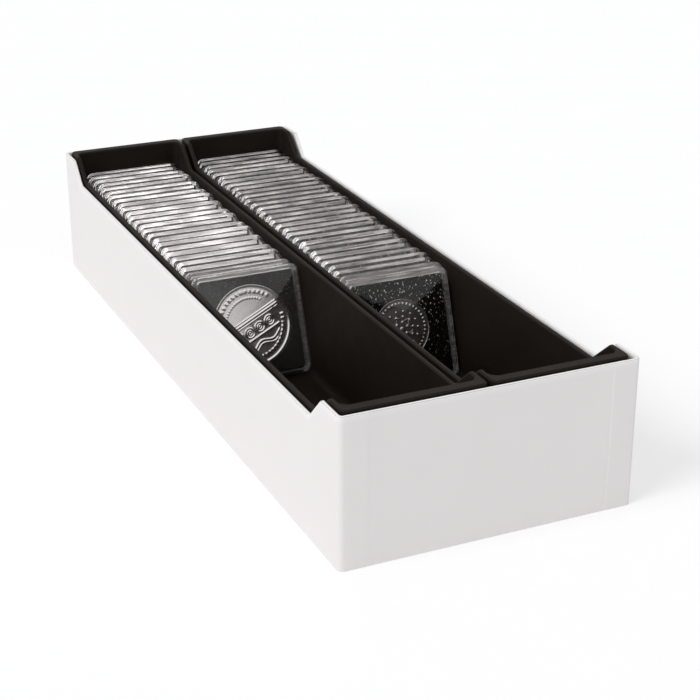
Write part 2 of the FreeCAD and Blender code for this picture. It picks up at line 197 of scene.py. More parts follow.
# Painted highlight colour on the paper's rim
PAPER_RIM_HIGHLIGHT_TONE = (0.99, 0.985, 0.985)
BOARD_TONES = ((0.47, 0.45, 0.42), (0.72, 0.70, 0.66))
TRAY_TONES = ((0.0135, 0.0096, 0.0072), (0.0185, 0.0138, 0.0108))
TRAY_SHEEN_TINT = (1.0, 0.90, 0.84, 1.0)
CLEAR_TONE = (0.99, 0.985, 0.985, 1.0)
LAMP_TINT = (0.98, 0.98, 0.98)
GROUND_TONES = ((0.885, 0.888, 0.892), (0.895, 0.897, 0.900))

# Materials. The seams' streaks gain painted light between two places along the box, the foam's painted
# glints between two heights.
CLEAR_INDEX = 1.49
STREAK_STRETCH = (0.07, 1.3, 1.3)
STREAK_PAINTED_LIGHT_SPAN = (-30.0, 130.0)
SPECK_SLANT = -35.0
SPECK_STRETCH = (1.3, 1.0, 0.7)
SPECK_FADE = 1.6
GLINT_PAINTED_LIGHT_HEIGHTS = (14.0, 42.0)
MATT_ROUGHNESS = 0.05
MATT_METAL = 0.9

# Light. Looking towards the front, mirrors and clear plastic see DARK_FRONT low down and white higher up. The
# change lies in the ranges DARK_FRONT_TOP of a direction's Z and DARK_FRONT_SIDES of its Y.
AMBIENT = 0.84
KEY_STRENGTH = 0.96
KEY_SPREAD = 30.0
KEY_TOWARDS = (-1.0, -0.18, 0.85)
FLOOR_LIFT = 0.22
FLOOR_REACH = 4000.0
DARK_FRONT = 0.03
DARK_FRONT_TOP = (0.240, 0.256)
DARK_FRONT_SIDES = (-0.75, -0.25)

# Camera: angles in degrees, and the end of its view in metres
CAMERA_PLACE = (-277.09, -657.42, 317.18)
CAMERA_TILT = 66.54
CAMERA_TURN = -24.46
CAMERA_LENS = 85.52
CAMERA_SENSOR = 36.0
CAMERA_FAR = 20.0

# Sockets of the Mix node, which has a set for each kind of value
MIX_FACTOR = 0
MIX_NUMBERS = (2, 3)
MIX_COLOURS = (6, 7)
MIX_NUMBER_OUT = 0
MIX_COLOUR_OUT = 2

# Distance within which the points of a CAD mesh are joined, in metres
WELD_M = 1e-6


# Meshes
def joined(pieces):
    """Several (points, faces) pieces as one."""
    points, faces, used = [], [], 0
    for piece_points, piece_faces in pieces:
        points.append(np.asarray(piece_points, dtype=float))
        faces.extend([index + used for index in face] for face in piece_faces)
        used += len(piece_points)
    return np.concatenate(points), faces


def moved(piece, place):
    """A piece with its points taken from a capsule's own frame to the box's frame."""
    points, faces = piece
    turn = np.array(place.to_3x3())
    return np.asarray(points) @ turn.T + np.array(place.translation), faces


def lofted(rings, caps=True):
    """Points and faces that join rings of equal length: with caps a closed tube, else a loop of rings."""
    count = len(rings[0])
    faces = []
    pairs = [(k, k + 1) for k in range(len(rings) - 1)]
    if not caps:
        pairs.append((len(rings) - 1, 0))
    for low, high in pairs:
        for k in range(count):
            after = (k + 1) % count
            faces.append([low * count + k, low * count + after, high * count + after, high * count + k])
    if caps:
        faces.append(list(range(count))[::-1])
        faces.append([(len(rings) - 1) * count + k for k in range(count)])
    return np.concatenate(rings), faces


def shown_object(name, mesh, material, sharp):
    """A smooth-shaded object in the scene, whose edges over the angle sharp in degrees stay sharp."""
    mesh.polygons.foreach_set("use_smooth", [True] * len(mesh.polygons))
    mesh.set_sharp_from_angle(angle=math.radians(sharp))
    mesh.materials.append(material)
    shown = bpy.data.objects.new(name, mesh)
    bpy.context.scene.collection.objects.link(shown)
    return shown


def new_piece(node, piece, material, body, sharp=30.0):
    """One shown mesh that stands for a CAD node and rides on its body."""
    points, faces = piece
    name = node + "_visual"
    mesh = bpy.data.meshes.new(name)
    mesh.from_pydata((np.asarray(points) * MM).tolist(), [], faces)
    work = bmesh.new()
    work.from_mesh(mesh)
    bmesh.ops.recalc_face_normals(work, faces=work.faces)
    work.to_mesh(mesh)
    work.free()
    shown = shown_object(name, mesh, material, sharp)
    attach(shown, body)
    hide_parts(node)
    return shown


def add_shares(shown, shares):
    """Gives a shown piece named shares from 0 to 1, one value for each of its points."""
    for name, values in shares.items():
        attribute = shown.data.attributes.new(name, "FLOAT", "POINT")
        attribute.data.foreach_set("value", values)


def quarter_turn(steps, start=0):
    """Angles of a quarter turn from a start in degrees, in radians."""
    return [math.radians(start + 90 * k / steps) for k in range(steps + 1)]


def rounded_square(half, radius, corner_steps, side_steps=1):
    """Points round a square with rounded corners, as (x, z), the same number for any size.

    They start at the right end of the top right corner and go round by way of the top left.
    """
    points = []
    centre = half - radius
    for corner in range(4):
        cx = centre * (1 if corner in (0, 3) else -1)
        cz = centre * (1 if corner in (0, 1) else -1)
        angles = quarter_turn(corner_steps, 90 * corner)
        points.extend((cx + radius * math.cos(angle), cz + radius * math.sin(angle)) for angle in angles)
        end = np.array(points[-1])
        side = -2 * centre * np.array((math.cos(angles[0]), math.sin(angles[0])))
        points.extend(tuple(end + side * step / side_steps) for step in range(1, side_steps))
    return np.array(points)


# Node materials
class Nodes:
    """A node tree with short ways to add and join nodes. A value is a constant or another node's socket."""

    def __init__(self, owner, output_kind):
        owner.use_nodes = True
        self.tree = owner.node_tree
        self.tree.nodes.clear()
        self.output = self.add(output_kind)

    def add(self, kind, **settings):
        node = self.tree.nodes.new(kind)
        for name, value in settings.items():
            setattr(node, name, value)
        return node

    def feed(self, socket, value):
        if isinstance(value, bpy.types.NodeSocket):
            self.tree.links.new(value, socket)
        else:
            socket.default_value = value

    def feed_all(self, node, values):
        for name, value in values.items():
            self.feed(node.inputs[name], value)

    def axis(self, vector, name):
        """One of a vector's parts, X, Y or Z."""
        node = self.add("ShaderNodeSeparateXYZ")
        self.feed(node.inputs[0], vector)
        return node.outputs[name]

    def ramp(self, value, source, target):
        """A value taken from one range into another, and held at its ends."""
        node = self.add("ShaderNodeMapRange", clamp=True)
        self.feed_all(node, {"Value": value, "From Min": source[0], "From Max": source[1],
                             "To Min": target[0], "To Max": target[1]})
        return node.outputs["Result"]

    def math(self, operation, first, second):
        node = self.add("ShaderNodeMath", operation=operation)
        for socket, value in zip(node.inputs, (first, second)):
            self.feed(socket, value)
        return node.outputs["Value"]

    def blend(self, factor, first, second):
        """A blend of two numbers."""
        node = self.add("ShaderNodeMix", data_type="FLOAT")
        for index, value in zip((MIX_FACTOR, *MIX_NUMBERS), (factor, first, second)):
            self.feed(node.inputs[index], value)
        return node.outputs[MIX_NUMBER_OUT]

    def paths(self, name):
        """1 for one kind of ray, 0 for the others."""
        return self.add("ShaderNodeLightPath").outputs[name]


class Shader(Nodes):
    """A material's node tree."""

    def __init__(self, name):
        self.material = bpy.data.materials.new(name)
        super().__init__(self.material, "ShaderNodeOutputMaterial")

    def place(self):
        """Object coordinates in millimetres."""
        coordinates = self.add("ShaderNodeTexCoord")
        scaled = self.add("ShaderNodeVectorMath", operation="SCALE")
        self.feed(scaled.inputs[0], coordinates.outputs["Object"])
        self.feed(scaled.inputs["Scale"], 1 / MM)
        return scaled.outputs["Vector"]

    def noise(self, vector, scale, detail=3.0, roughness=0.55):
        node = self.add("ShaderNodeTexNoise")
        self.feed_all(node, {"Vector": vector, "Scale": scale, "Detail": detail, "Roughness": roughness})
        return node.outputs["Fac"]

    def cells(self, vector, scale):
        """Distance to the middle of the nearest of many random cells."""
        node = self.add("ShaderNodeTexVoronoi")
        self.feed_all(node, {"Vector": vector, "Scale": scale})
        return node.outputs["Distance"]

    def share(self, name):
        """A share that the mesh carries for each of its points."""
        return self.add("ShaderNodeAttribute", attribute_name=name).outputs["Fac"]

    def colours(self, factor, first, second):
        """A blend of two colours."""
        node = self.add("ShaderNodeMix", data_type="RGBA")
        self.feed(node.inputs[MIX_FACTOR], factor)
        for index, colour in zip(MIX_COLOURS, (first, second)):
            self.feed(node.inputs[index], (*colour, 1.0) if isinstance(colour, tuple) else colour)
        return node.outputs[MIX_COLOUR_OUT]

    def bump(self, height, distance, strength=1.0):
        """A bump from a height between 0 and 1 that stands for distance millimetres."""
        node = self.add("ShaderNodeBump")
        self.feed_all(node, {"Height": height, "Distance": distance * MM, "Strength": strength})
        return node.outputs["Normal"]

    def principled(self, **values):
        """The main shader. Each value goes by its socket's name, with _ for a space."""
        node = self.add("ShaderNodeBsdfPrincipled")
        self.feed_all(node, {name.replace("_", " "): value for name, value in values.items()})
        return node.outputs["BSDF"]

    def added(self, first, second):
        """The light of two shaders added up."""
        node = self.add("ShaderNodeAddShader")
        self.feed(node.inputs[0], first)
        self.feed(node.inputs[1], second)
        return node.outputs[0]

    def lamp_clear(self, surface):
        """The surface as seen, but light from lamps passes it with a slight tint."""
        through = self.add("ShaderNodeBsdfTransparent")
        self.feed(through.inputs["Color"], (*LAMP_TINT, 1.0))
        mix = self.add("ShaderNodeMixShader")
        self.feed(mix.inputs[0], self.paths("Is Shadow Ray"))
        self.feed(mix.inputs[1], surface)
        self.feed(mix.inputs[2], through.outputs[0])
        return mix.outputs[0]

    def finish(self, shader):
        self.feed(self.output.inputs["Surface"], shader)
        return self.material


def paper_material():
    """Smooth white wrapping paper with a fibre grain and slight waves, and a painted highlight on its rim."""
    shader = Shader("white_paper")
    place = shader.place()
    fibres = shader.noise(place, 2.4, detail=4.0, roughness=0.6)
    waves = shader.noise(place, 0.035, detail=2.0, roughness=0.4)
    height = shader.math("ADD", shader.math("MULTIPLY", fibres, 0.02), waves)
    flat_tone = shader.colours(shader.noise(place, 0.05), *PAPER_TONES)
    # Painted highlight: the paper turns whiter where the rim share is high
    tone = shader.colours(shader.share("rim"), flat_tone, PAPER_RIM_HIGHLIGHT_TONE)
    roughness = shader.ramp(fibres, (0.3, 0.7), (0.50, 0.62))
    return shader.finish(shader.principled(
        Base_Color=tone, Roughness=roughness, IOR=1.45, Specular_IOR_Level=0.35,
        Normal=shader.bump(height, 0.25)))


def board_material():
    """Grey white board with pressed fibres in faint clouds."""
    shader = Shader("greyboard")
    place = shader.place()
    fibres = shader.noise(place, 1.3, detail=6.0, roughness=0.65)
    clouds = shader.noise(place, 0.09, detail=4.0, roughness=0.65)
    mottled = shader.ramp(shader.math("ADD", fibres, clouds), (0.75, 1.25), (0.0, 1.0))
    return shader.finish(shader.principled(
        Base_Color=shader.colours(mottled, *BOARD_TONES), Roughness=0.85, Specular_IOR_Level=0.2,
        Normal=shader.bump(fibres, 0.12)))


def tray_material():
    """Warm black moulded plastic with a fine pebble and a satin sheen."""
    shader = Shader("black_satin_plastic")
    place = shader.place()
    pebble = shader.cells(place, 2.2)
    cloud = shader.noise(place, 0.08, detail=3.0, roughness=0.5)
    roughness = shader.ramp(cloud, (0.3, 0.7), (0.50, 0.60))
    return shader.finish(shader.principled(
        Base_Color=shader.colours(cloud, *TRAY_TONES), Roughness=roughness, IOR=1.46,
        Specular_IOR_Level=0.12, Specular_Tint=TRAY_SHEEN_TINT, Normal=shader.bump(pebble, 0.02, 0.6)))


def clear_material():
    """Polished clear plastic that lets light from lamps through to what it holds."""
    shader = Shader("clear_plastic")
    place = shader.place()
    smears = shader.noise(place, 0.12, detail=3.0, roughness=0.5)
    flow = shader.noise(place, 0.3, detail=2.0, roughness=0.4)
    roughness = shader.ramp(smears, (0.35, 0.75), (0.02, 0.06))
    glass = shader.principled(
        Base_Color=CLEAR_TONE, Roughness=roughness, IOR=CLEAR_INDEX, Transmission_Weight=1.0,
        Normal=shader.bump(flow, 0.05, 0.5))
    return shader.finish(shader.lamp_clear(glass))


def frosted_material(name, dark, bright, clear_share, near_share=1.0):
    """Etched plastic on the seam: it scatters the light that comes down through the capsule's edge.

    Light reaches it from both of its sides. Its tones from dark to bright are also painted light, which
    stands in for light carried along the plastic. In the box's near part its brightest streaks go only
    near_share of the way from dark to bright, a painted shade that lifts towards the far end.
    """
    shader = Shader(name)
    place = shader.place()
    streaks = shader.add("ShaderNodeVectorMath", operation="MULTIPLY")
    shader.feed(streaks.inputs[0], place)
    shader.feed(streaks.inputs[1], STREAK_STRETCH)
    uneven = shader.noise(streaks.outputs["Vector"], 1.0, detail=3.0, roughness=0.6)
    grain = shader.noise(place, 2.0, detail=3.0, roughness=0.6)
    # Painted light: the streaks are painted dimmer in the box's near part and brighter towards the far end
    light = shader.ramp(shader.axis(place, "Y"), STREAK_PAINTED_LIGHT_SPAN, (near_share, 1.0))
    streaked = shader.ramp(uneven, (0.38, 0.62), (0.0, 1.0))
    tone = shader.colours(shader.math("MULTIPLY", streaked, light), dark, bright)
    front = shader.principled(
        Base_Color=tone, Roughness=0.35, IOR=CLEAR_INDEX, Transmission_Weight=clear_share,
        Normal=shader.bump(grain, 0.1))
    behind = shader.add("ShaderNodeBsdfTranslucent")
    shader.feed(behind.inputs["Color"], tone)
    return shader.finish(shader.lamp_clear(shader.added(front, behind.outputs[0])))


def foam_material(name, base, painted_glint_tone, speck_cells, speck_size, shine, relief):
    """Black pebbled foam with small slanting painted glints, brighter high up where the light falls in."""
    shader = Shader(name)
    place = shader.place()
    pebble = shader.cells(place, 1.5)
    grain = shader.noise(place, 3.5, detail=3.0, roughness=0.6)
    slanted = shader.add("ShaderNodeMapping")
    shader.feed(slanted.inputs["Vector"], place)
    shader.feed(slanted.inputs["Rotation"], (0.0, math.radians(SPECK_SLANT), 0.0))
    shader.feed(slanted.inputs["Scale"], SPECK_STRETCH)
    distance = shader.cells(slanted.outputs["Vector"], speck_cells)
    # Painted highlights: small spots of the foam's colour turned bright
    painted_glints = shader.ramp(distance, (speck_size, speck_size * SPECK_FADE), (1.0, 0.0))
    patches = shader.ramp(shader.noise(place, 1.1, detail=2.0, roughness=0.6), (0.48, 0.60), (0.0, 1.0))
    # Painted light: the glints fade lower down
    painted_height_light = shader.ramp(shader.axis(place, "Z"), GLINT_PAINTED_LIGHT_HEIGHTS, (0.12, 1.0))
    factor = shader.math("MULTIPLY", shader.math("MULTIPLY", painted_glints, patches), painted_height_light)
    height = shader.math("ADD", pebble, shader.math("MULTIPLY", grain, 0.3))
    return shader.finish(shader.principled(
        Base_Color=shader.colours(factor, base, painted_glint_tone), Roughness=0.55, IOR=1.45,
        Specular_IOR_Level=shine, Normal=shader.bump(height, relief)))


def coin_material(name, field, relief, field_roughness, relief_roughness):
    """Struck metal whose raised parts are polished. Where the share matt is 1 it is sandblasted."""
    shader = Shader(name)
    raised, matt = shader.share("relief"), shader.share("matt")
    wear = shader.noise(shader.place(), 1.2, detail=4.0, roughness=0.6)
    polish = shader.ramp(raised, (0.0, 1.0), (field_roughness, relief_roughness))
    blasted = shader.math("MULTIPLY", matt, MATT_ROUGHNESS)
    uneven = shader.math("ADD", shader.math("MULTIPLY", wear, 0.06), blasted)
    return shader.finish(shader.principled(
        Base_Color=shader.colours(raised, field, relief), Roughness=shader.math("ADD", polish, uneven),
        Metallic=shader.ramp(matt, (0.0, 1.0), (1.0, MATT_METAL)), Normal=shader.bump(wear, 0.01, 0.5)))


MATERIALS = {
    "paper": paper_material(),
    "board": board_material(),
    "tray": tray_material(),
    "clear": clear_material(),
    # The rows' seams are painted lit and shaded copies: the left row's tones lighter than the right row's
    "frosted_left": frosted_material(
        "frosted_seam_painted_light_left", (0.48, 0.462, 0.457), (0.99, 0.975, 0.975), clear_share=0.0, near_share=0.3),
    "frosted_right": frosted_material(
        "frosted_seam_painted_light_right", (0.20, 0.187, 0.182), (0.76, 0.73, 0.72), clear_share=0.05, near_share=0.75),
    # Loose capsules' seam: a painted lit tone for the top and a painted shaded tone for the sides
    "seam_painted_lit": frosted_material("seam_painted_lit", (0.16, 0.15, 0.145), (0.34, 0.325, 0.32), clear_share=0.2),
    "seam_painted_shade": frosted_material("seam_painted_shade", (0.12, 0.112, 0.108), (0.28, 0.265, 0.26), clear_share=0.2),
    # Painted glint: a near white tone for corners and edge lines
    "painted_glint": frosted_material("painted_corner_glint", (0.80, 0.78, 0.78), (0.96, 0.95, 0.95), clear_share=0.0),
    # The foams' glint tones are painted highlights
    "foam_left": foam_material(
        "black_foam_left", (0.016, 0.013, 0.012), (0.28, 0.26, 0.25),
        speck_cells=0.9, speck_size=0.17, shine=0.4, relief=0.2),
    "foam_right": foam_material(
        "black_foam_right", (0.003, 0.002, 0.0015), (0.96, 0.93, 0.90),
        speck_cells=0.8, speck_size=0.2, shine=0.0, relief=0.04),
    "silver": coin_material(
        "struck_silver", (0.97, 0.94, 0.93), (0.98, 0.97, 0.96), field_roughness=0.10, relief_roughness=0.08),
    "dark_silver": coin_material(
        "toned_silver", (0.20, 0.185, 0.18), (0.90, 0.88, 0.87), field_roughness=0.26, relief_roughness=0.16),
}


# Box
def dress_board():
    """The CAD board as it is, with its own material."""
    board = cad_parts["box_board"]
    board.data.materials.clear()
    board.data.materials.append(MATERIALS["board"])


def rim_height(y):
    """Height of the box's rim over a long side: full at the posts, lowered between them."""
    full = HALF_BOX.z * 2
    soft = SLOPE_SOFT
    t = (abs(y) - SLOPE_FOOT) / SLOPE_LENGTH
    if t <= -soft:
        share = 0.0
    elif t < soft:
        share = (t + soft) ** 2 / (4 * soft)
    elif t < 1 - soft:
        share = t
    elif t < 1 + soft:
        share = 1 - (1 + soft - t) ** 2 / (4 * soft)
    else:
        share = 1.0
    return LOWERED_HEIGHT + (full - LOWERED_HEIGHT) * share


def wrap_section(height, step):
    """The glued paper's cross-section as (inset, height): outside skin, soft rim, skin turned in."""
    rim = [(RIM_ROUND - RIM_ROUND * math.cos(turn), height - RIM_ROUND + RIM_ROUND * math.sin(turn))
           for turn in quarter_turn(RIM_STEPS)]
    face = [(step, z) for z in (*FACE_LEVELS, height - RIM_BAND)]
    outside = [(max(inset, step), z) for inset, z in rim]
    inside = [(WALL - inset, z) for inset, z in reversed(rim)]
    turned_in = [(WALL, height - RIM_BAND), (WALL, TURN_IN_EDGE), (WALL - PAPER, TURN_IN_EDGE)]
    glued = [(WALL - PAPER, height - PAPER), (PAPER, height - PAPER), (PAPER, 0.0)]
    return face + outside + inside + turned_in + glued


def wrap_stations():
    """Places round the box as (x, y, outward x, outward y, step of the skin)."""
    half_x, half_y = HALF_BOX.x, HALF_BOX.y
    slope = SLOPE_FOOT + SLOPE_LENGTH * np.array(SLOPE_STATIONS)
    side_ys = np.sort(np.concatenate([-slope, np.linspace(*SIDE_STATIONS), slope]))
    flap = half_x - FLAP_WIDTH
    end_xs = np.array([-flap - FLAP_SLOPE, -flap, *END_STATIONS, flap, flap + FLAP_SLOPE])
    end_steps = [0.0] + [FLAP_STEP] * (len(end_xs) - 2) + [0.0]
    stations = []

    def corner(cx, cy, start):
        for angle in quarter_turn(BOX_CORNER_STEPS, start):
            nx, ny = math.cos(angle), math.sin(angle)
            stations.append((cx + BOX_CORNER * nx, cy + BOX_CORNER * ny, nx, ny, 0.0))

    cx, cy = half_x - BOX_CORNER, half_y - BOX_CORNER
    stations.extend((half_x, y, 1, 0, 0.0) for y in side_ys)
    corner(cx, cy, 0)
    stations.extend((x, half_y, 0, 1, step) for x, step in zip(end_xs[::-1], end_steps))
    corner(-cx, cy, 90)
    stations.extend((-half_x, y, -1, 0, 0.0) for y in side_ys[::-1])
    corner(-cx, -cy, 180)
    stations.extend((x, -half_y, 0, -1, step) for x, step in zip(end_xs, end_steps))
    corner(cx, -cy, 270)
    return stations


def build_wrap():
    """The paper round the box, with the share of its rim's painted highlight at each point."""
    rings, rim = [], []
    for x, y, nx, ny, step in wrap_stations():
        top = rim_height(y)
        section = wrap_section(top, step)
        rings.append(np.array([(x - inset * nx, y - inset * ny, z) for inset, z in section]))
        # Share of the painted highlight: 1 at the rim's top, falling to 0 further down its round
        rim.extend(min(max((z - top) / (RIM_ROUND * RIM_HIGHLIGHT_ROUNDS) + 1.0, 0.0), 1.0) for inset, z in section)
    wrap = new_piece("paper_wrap", lofted(rings, caps=False), MATERIALS["paper"], "box")
    add_shares(wrap, {"rim": rim})


# Trays
def build_tray(side):
    """A copy of the CAD tray with its flat faces joined and its sharp edges rounded."""
    node = side + "_tray"
    mesh = bpy.data.meshes.new(node + "_visual")
    work = bmesh.new()
    work.from_mesh(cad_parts[node].data)
    bmesh.ops.remove_doubles(work, verts=work.verts, dist=WELD_M)
    bmesh.ops.dissolve_limit(
        work, angle_limit=math.radians(TRAY_FLAT_ANGLE), verts=work.verts, edges=work.edges)
    work.to_mesh(mesh)
    work.free()
    tray = shown_object(node + "_visual", mesh, MATERIALS["tray"], TRAY_SHARP_ANGLE)
    bevel = tray.modifiers.new("edges", "BEVEL")
    bevel.width = TRAY_EDGE_ROUND * MM
    bevel.segments = TRAY_EDGE_STEPS
    bevel.limit_method = "ANGLE"
    bevel.angle_limit = math.radians(TRAY_EDGE_ANGLE)
    weighted = tray.modifiers.new("shading", "WEIGHTED_NORMAL")
    weighted.keep_sharp = True
    weighted.weight = TRAY_SHADING_WEIGHT
    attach(tray, node)
    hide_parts(node)


# Capsules
def linked_vertices(first, seen):
    """A vertex and all that edges join to it. They are added to seen."""
    seen.add(first)
    group, waiting = [], [first]
    while waiting:
        vertex = waiting.pop()
        group.append(vertex)
        for edge in vertex.link_edges:
            other = edge.other_vert(vertex)
            if other not in seen:
                seen.add(other)
                waiting.append(other)
    return group


def solids_of(node):
    """The separate solids of a CAD node in millimetres, each as its points and its largest face's normal."""
    work = bmesh.new()
    work.from_mesh(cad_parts[node].data)
    bmesh.ops.remove_doubles(work, verts=work.verts, dist=WELD_M)
    seen = set()
    solids = []
    for first in work.verts:
        if first in seen:
            continue
        group = linked_vertices(first, seen)
        faces = {face for vertex in group for face in vertex.link_faces}
        largest = max(faces, key=lambda face: face.calc_area())
        solids.append((np.array([vertex.co for vertex in group]) / MM, np.array(largest.normal)))
    work.free()
    return solids


def capsule_places(node):
    """Each capsule's own frame, read from the rear halves in a CAD node, front first.

    Its origin is the middle of the lower rear edge, with X across, Y to the rear and Z up the capsule.
    """
    places = []
    across = np.array((1.0, 0.0, 0.0))
    for points, normal in solids_of(node):
        rear = normal if normal[1] > 0 else -normal
        up = np.cross(across, rear)
        middle_x = (points[:, 0].min() + points[:, 0].max()) / 2
        origin = across * middle_x + rear * (points @ rear).max() + up * (points @ up).min()
        place = Matrix.Identity(4)
        for column, axis in enumerate((across, rear, up, origin)):
            for row in range(3):
                place[row][column] = axis[row]
        places.append(place)
    return sorted(places, key=lambda place: place.translation.y)


def seam_sections(front, strip):
    """Rings of a capsule half's seam from the cavity out, as (half width, corner radius, level, look).

    A capsule in the joined rows has no tongue or groove. Its seam's land is as wide as strip, which is the
    part of it that stands out above the capsule in front, less the share left clear as a painted shadow line.
    A loose capsule's seam has painted highlight lines near the cavity and near its outer edge.
    """
    inner, outer = CAVITY / 2, CAPSULE / 2
    if strip:
        land = max(inner + LEAST_LAND, outer - strip)
        return [(inner, CAVITY_CORNER, SEAM_GAP, "clear"),
                (land, CAPSULE_CORNER - outer + land, SEAM_GAP, "row")]
    shoulder = TONGUE_HEIGHT + TONGUE_ROOM if front else -TONGUE_HEIGHT
    land = inner + TONGUE_WIDTH + (TONGUE_ROOM if front else 0.0)
    land_corner = CAVITY_CORNER + TONGUE_WIDTH
    return [(inner, CAVITY_CORNER, shoulder, "painted_highlight_line" if front else "clear"),
            (inner + HIGHLIGHT_LINE_WIDTH / 2, HIGHLIGHT_LINE_CORNER, shoulder, "painted_lit_top" if front else "clear"),
            (land, land_corner, shoulder, "clear"),
            (land, land_corner, SEAM_GAP, "painted_lit_top"),
            (outer - HIGHLIGHT_LINE_WIDTH, CAPSULE_CORNER - HIGHLIGHT_LINE_WIDTH, SEAM_GAP, "painted_highlight_line")]


def half_piece(front, strip=None):
    """One capsule half in the capsule's frame, and a material number for each of its faces.

    The rings run from the window's inner face over the seam to the window's outer face. The seam's land,
    where the halves meet, scatters light, and light, shade and glints are painted on it. The rest is clear.
    """
    depth = CAPSULE_THICKNESS / 2
    outer = CAPSULE / 2
    sections = [(CAVITY / 2, CAVITY_CORNER, depth - WINDOW, "clear"), *seam_sections(front, strip)]
    sections.append((outer - SEAM_BEVEL, CAPSULE_CORNER - SEAM_BEVEL, SEAM_GAP, "clear"))
    sections.append((outer, CAPSULE_CORNER, SEAM_GAP + SEAM_BEVEL, "clear"))
    soft = CAPSULE_EDGE_ROUND
    for turn in quarter_turn(CAPSULE_EDGE_STEPS):
        inset = soft - soft * math.cos(turn)
        level = depth - soft + soft * math.sin(turn)
        sections.append((outer - inset, CAPSULE_CORNER - inset, level, "clear"))
    way = -1 if front else 1
    rings, kinds = [], []
    for half, radius, level, look in sections:
        flat = rounded_square(half, radius, CORNER_STEPS)
        y = np.full(len(flat), way * level - depth)
        rings.append(np.column_stack([flat[:, 0], y, flat[:, 1] + CAPSULE / 2]))
        for corner, along in zip(*RING_LOOKS[look]):
            kinds.extend([corner] * CORNER_STEPS + [along])
    kinds = kinds[:-len(rings[0])] + [CLEAR, CLEAR]
    return lofted(rings), kinds


def add_halves(node, side, body, piece, kinds):
    """The shown halves for a CAD node: clear plastic, with painted light, shade and glints on the seam."""
    halves = new_piece(node, piece, MATERIALS["clear"], body)
    for name in ("frosted_" + side, "seam_painted_lit", "seam_painted_shade", "painted_glint"):
        halves.data.materials.append(MATERIALS[name])
    halves.data.polygons.foreach_set("material_index", kinds)


def insert_piece(hole_radius=None):
    """A foam slab in the capsule's frame, with a round hole where it holds a coin."""
    front_y, rear_y = -CAPSULE_THICKNESS + WINDOW + INSERT_GAP, -WINDOW - INSERT_GAP
    half = CAVITY / 2 - INSERT_GAP
    soft = INSERT_ROUND

    def ring(flat, y):
        return np.column_stack([flat[:, 0], np.full(len(flat), y), flat[:, 1] + CAPSULE / 2])

    def outline(inset):
        return rounded_square(half - inset, CAVITY_CORNER - inset, INSERT_CORNER_STEPS, INSERT_SIDE_STEPS)

    wide, narrow = outline(0.0), outline(soft)
    outside = [ring(narrow, front_y), ring(wide, front_y + soft),
               ring(wide, rear_y - soft), ring(narrow, rear_y)]
    if hole_radius is None:
        return lofted(outside)
    angles = np.arctan2(wide[:, 1], wide[:, 0])
    circle = np.column_stack([np.cos(angles), np.sin(angles)])
    hole, mouth = circle * hole_radius, circle * (hole_radius + soft)
    inside = [ring(mouth, rear_y), ring(hole, rear_y - soft),
              ring(hole, front_y + soft), ring(mouth, front_y)]
    return lofted(outside + inside, caps=False)


# Coins
def soft_step(distance, width):
    """1 where distance is well below 0, 0 well above it, with an even slope of the given width between."""
    return np.clip(0.5 - distance / width, 0.0, 1.0)


def disc(x, y, cx, cy, radius):
    return soft_step(np.hypot(x - cx, y - cy) - radius, DISC_SLOPE)


def hoop(x, y, cx, cy, radius, width):
    return soft_step(np.abs(np.hypot(x - cx, y - cy) - radius) - width / 2, LINE_SLOPE)


def bar(offset, width):
    return soft_step(np.abs(offset) - width / 2, LINE_SLOPE)


def arc_dashes(x, y, edge, inset, width, start, end, pitch, share, height):
    """Short dashes along part of a circle that lies inset from the coin's edge, angles in degrees."""
    angle = np.degrees(np.arctan2(y, x)) % 360
    within = (angle > start) & (angle < end)
    phase = ((angle - start) / pitch) % 1.0
    return hoop(x, y, 0, 0, edge - inset, width) * within * (phase < share) * height


def turned(x, y, degrees):
    """A point's place along and above the level line of a face that is turned in its capsule."""
    turn = math.radians(degrees)
    return x * math.cos(turn) + y * math.sin(turn), -x * math.sin(turn) + y * math.cos(turn)


def left_relief(x, y):
    """Raised share of the left coin's face: a level shore line, rings of ripples and a wave below it."""
    u, v = turned(x, y, LEFT_TURN)
    r = np.hypot(x, y)
    edge = COIN_RADIUS["left"]
    field = r < edge - LEFT_FIELD_INSET
    parts = [soft_step(edge - LEFT_RIM - r, RIM_SLOPE)]
    parts.extend(arc_dashes(u, v, edge, *dashes) for dashes in LEFT_DASHES)
    for level, width in SHORE_LEVELS_WIDTHS:
        reach = math.sqrt(SHORE_REACH ** 2 - level ** 2)
        parts.append(bar(v - level, width) * (np.abs(u) < reach) * field)
    for centre in RIPPLE_CENTRES:
        for radius, width, height in RIPPLE_RADII_WIDTHS_HEIGHTS:
            parts.append(hoop(u, v, centre, RIPPLE_LEVEL, radius, width) * height)
        parts.append(disc(u, v, centre, RIPPLE_LEVEL, RIPPLE_DOT))
    parts.append(bar(v - BANK_LEVEL, BANK_WIDTH) * (np.abs(u) < BANK_REACH))
    wave = v - WAVE_LEVEL - WAVE_HEIGHT * np.cos(u * WAVE_TURNS)
    for drop, width, reach in WAVE_DROPS_WIDTHS_REACHES:
        parts.append(bar(wave + drop, width) * (np.abs(u) < reach))
    return np.maximum.reduce(parts)


def left_matt(x, y):
    """1 on the part of the left coin's face above its shore line, which is sandblasted, and 0 elsewhere."""
    return (turned(x, y, LEFT_TURN)[1] > MATT_ABOVE) * 1.0


